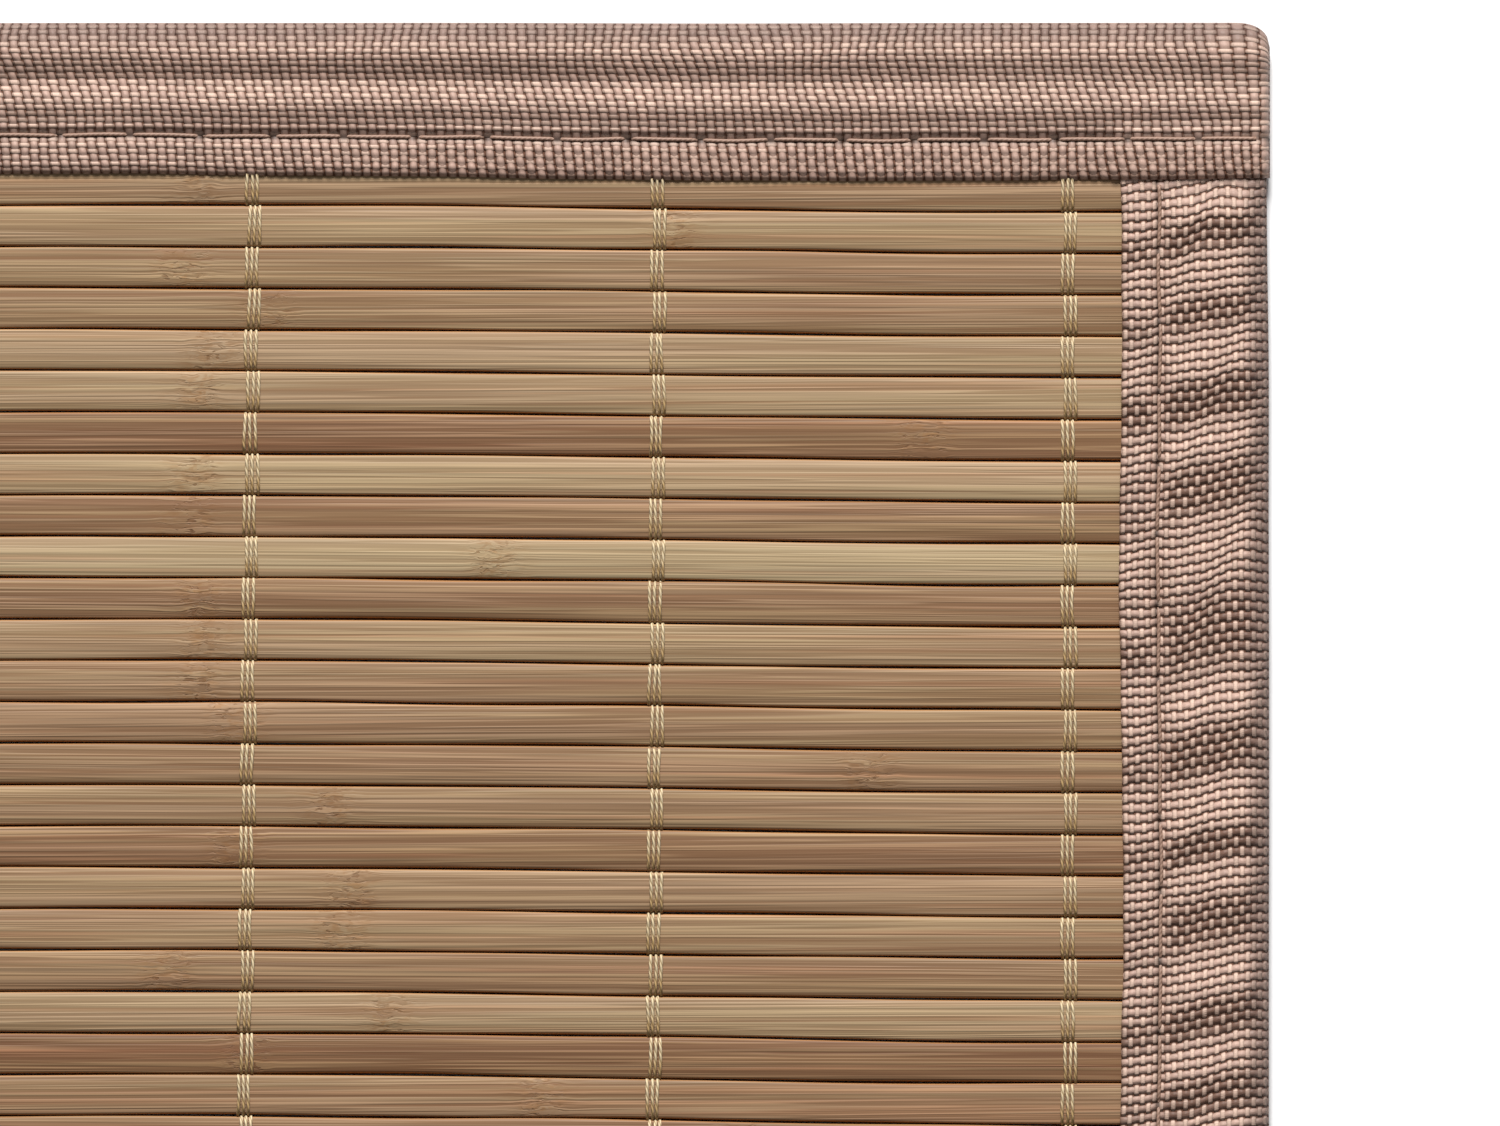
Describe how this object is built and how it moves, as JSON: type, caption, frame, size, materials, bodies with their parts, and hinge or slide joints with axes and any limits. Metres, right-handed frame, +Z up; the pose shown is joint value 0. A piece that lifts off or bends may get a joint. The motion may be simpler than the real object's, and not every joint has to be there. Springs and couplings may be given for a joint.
{
  "type": "bamboo mat",
  "caption": "Flat rectangular mat of bamboo slats laid side by side, laced across with twisted cord lines and bound round the edges with folded woven tape.",
  "frame": {"origin": "centre of the mat's outline, on the surface that it lies on", "axes": "+X along the slats (the mat's length), +Y across them to the back edge, +Z up out of the face that shows"},
  "size_m": [0.45, 0.3, 0.0063],
  "materials": {
    "bamboo": "smooth split bamboo, unvarnished, straw to reddish tan",
    "cord": "twisted cream yarn",
    "tape": "coarse plain weave, dusty pink brown"
  },
  "bodies": {
    "root": {"slat_01": "bamboo", "slat_02": "bamboo", "slat_03": "bamboo", "slat_04": "bamboo", "slat_05": "bamboo", "slat_06": "bamboo", "slat_07": "bamboo", "slat_08": "bamboo", "slat_09": "bamboo", "slat_10": "bamboo", "slat_11": "bamboo", "slat_12": "bamboo", "slat_13": "bamboo", "slat_14": "bamboo", "slat_15": "bamboo", "slat_16": "bamboo", "slat_17": "bamboo", "slat_18": "bamboo", "slat_19": "bamboo", "slat_20": "bamboo", "slat_21": "bamboo", "slat_22": "bamboo", "slat_23": "bamboo", "slat_24": "bamboo", "slat_25": "bamboo", "slat_26": "bamboo", "slat_27": "bamboo", "slat_28": "bamboo", "slat_29": "bamboo", "slat_30": "bamboo", "slat_31": "bamboo", "slat_32": "bamboo", "slat_33": "bamboo", "slat_34": "bamboo", "slat_35": "bamboo", "slat_36": "bamboo", "slat_37": "bamboo", "slat_38": "bamboo", "slat_39": "bamboo", "cord_1a": "cord", "cord_1b": "cord", "cord_2a": "cord", "cord_2b": "cord", "cord_3a": "cord", "cord_3b": "cord", "cord_4a": "cord", "cord_4b": "cord", "cord_5a": "cord", "cord_5b": "cord", "cord_6a": "cord", "cord_6b": "cord", "binding_back": "tape", "binding_front": "tape", "binding_left": "tape", "binding_right": "tape"}
  },
  "joints": []
}
